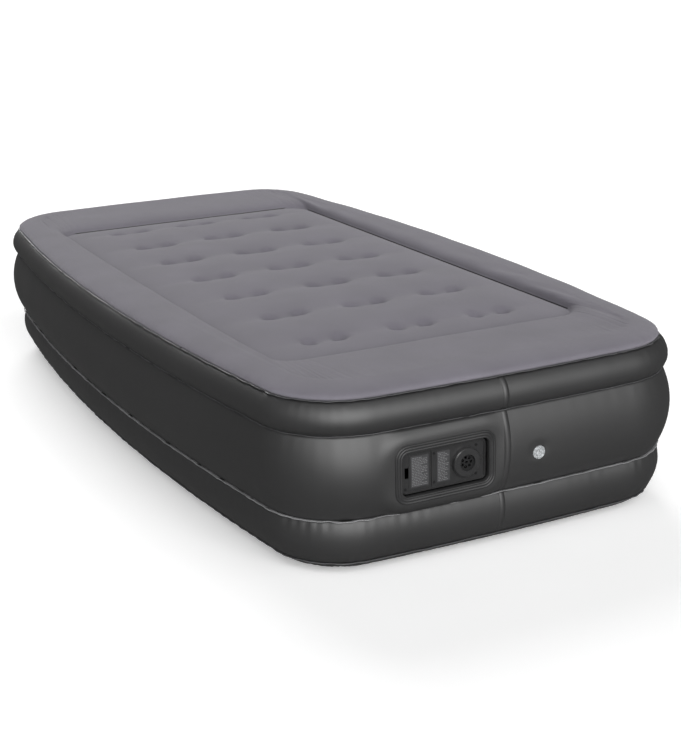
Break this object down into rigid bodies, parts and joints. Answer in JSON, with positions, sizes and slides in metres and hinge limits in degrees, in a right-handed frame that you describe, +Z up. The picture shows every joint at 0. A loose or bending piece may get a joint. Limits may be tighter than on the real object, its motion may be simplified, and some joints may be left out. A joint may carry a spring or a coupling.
{
  "type": "raised air bed",
  "caption": "Raised single air bed with a flocked coil-beam top, three-tier film wall, built-in mains pump with dial and cord door, and a hand valve.",
  "frame": {"origin": "on the floor, under the middle of the bed", "axes": "+X across the bed, +Y from the pump end to the far end, +Z up"},
  "size_m": [0.9696, 1.911, 0.352],
  "materials": {
    "flock": "short grey flock",
    "film": "satin dark grey soft film",
    "weld": "satin welded film edge",
    "surround": "matt moulded soft film",
    "panel_plastic": "fine-grained moulded plastic",
    "black_plastic": "black moulded plastic",
    "grey_plastic": "natural grey plastic",
    "red_plastic": "red plastic",
    "label": "printed grey label",
    "rubber": "black rubber",
    "steel": "bright steel",
    "copper": "copper windings",
    "bronze": "sintered bronze",
    "clear_film": "clear soft plastic"
  },
  "bodies": {
    "mattress": {"top_sheet": "flock", "upper_wall": "film", "middle_wall": "film", "pump_wall_panel": "film", "lower_wall": "film", "bottom_sheet": "film", "upper_tie_sheet": "film", "lower_tie_sheet": "film", "deck_weld_beam": "film", "air_coils": "film", "middle_webs": "film", "lower_webs": "film", "top_seam_flange": "weld", "base_seam_flange": "weld", "wall_lap_strips": "weld", "pump_surround": "surround", "housing_gasket": "rubber", "pump_housing": "panel_plastic", "face_plate": "panel_plastic", "face_screws": "black_plastic", "panel_label": "label", "door_hinge_pin": "steel", "cord_gland": "rubber", "dial_seal": "rubber", "microswitch": "black_plastic", "blower_scroll": "panel_plastic", "motor_mount": "panel_plastic", "mount_screws": "steel", "motor_can": "steel", "motor_end_cap": "black_plastic", "motor_stator": "steel", "motor_bushes": "bronze", "motor_brushes": "black_plastic", "outlet_spider": "panel_plastic", "flap_spring": "steel", "valve_body": "clear_film"},
    "dial": {"dial_knob": "panel_plastic", "dial_grille": "black_plastic", "dial_spindle": "panel_plastic", "diverter_disc": "grey_plastic"},
    "cord_door": {"cord_door": "panel_plastic", "door_label": "label"},
    "fan": {"impeller": "grey_plastic", "motor_shaft": "steel", "motor_rotor": "copper", "commutator": "copper"},
    "outlet_flap": {"check_flap": "rubber", "flap_clip": "steel"},
    "switch_button": {"switch_plunger": "red_plastic"},
    "valve_cap": {"valve_cap": "clear_film"}
  },
  "joints": [
    {"name": "dial_turn", "type": "hinge", "parent": "mattress", "child": "dial", "pos_m": [-0.096, -0.938, 0.188], "axis": [0, -1, 0], "range_deg": [-45, 45]},
    {"name": "door_swing", "type": "hinge", "parent": "mattress", "child": "cord_door", "pos_m": [-0.167, -0.9384, 0.188], "axis": [0, 0, 1], "range_deg": [0, 95]},
    {"name": "fan_spin", "type": "hinge", "parent": "mattress", "child": "fan", "pos_m": [-0.096, -0.878, 0.188], "axis": [0, 1, 0], "continuous": true},
    {"name": "flap_lift", "type": "slide", "parent": "mattress", "child": "outlet_flap", "axis": [0, 1, 0], "range_m": [0, 0.006], "stiffness_N_per_m": 59, "deforming": ["flap_spring"]},
    {"name": "switch_press", "type": "slide", "parent": "mattress", "child": "switch_button", "axis": [-1, 0, 0], "range_m": [0, 0.0012], "stiffness_N_per_m": 200},
    {"name": "cap_swing", "type": "hinge", "parent": "mattress", "child": "valve_cap", "pos_m": [0.052, -0.95405, 0.171], "axis": [1, 0, 0], "range_deg": [0, 120]}
  ]
}
